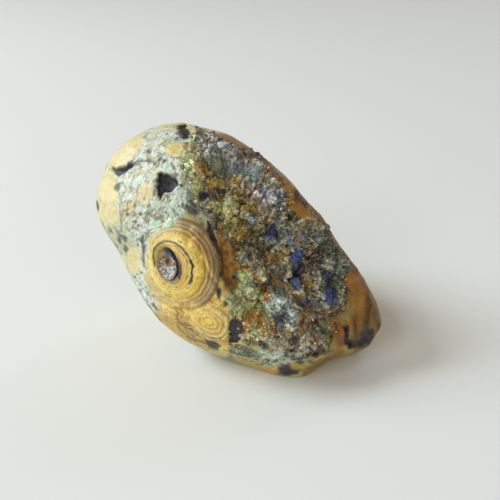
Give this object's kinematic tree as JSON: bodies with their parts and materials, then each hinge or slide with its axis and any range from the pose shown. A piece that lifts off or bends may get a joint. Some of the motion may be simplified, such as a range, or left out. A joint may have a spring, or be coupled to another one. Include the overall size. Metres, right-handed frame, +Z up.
{
  "type": "agate nodule",
  "caption": "Water-worn orbicular agate pebble with a banded eye, small pits and one broken, crystal-covered face, resting on a worn flat.",
  "frame": {"origin": "centre of the bounding box, at the flat that the stone rests on", "axes": "+Z up, +X along the stone's length to its lower right end, and the eye and the broken face look towards -Y"},
  "size_m": [0.0444, 0.0323, 0.0344],
  "materials": {
    "agate_stone": "polished by wear, with a rough crystal-covered break",
    "quartz_crystals": "clear to milky quartz, glossy"
  },
  "bodies": {
    "root": {"stone": "agate_stone", "eye_crystals": "quartz_crystals"}
  },
  "joints": []
}
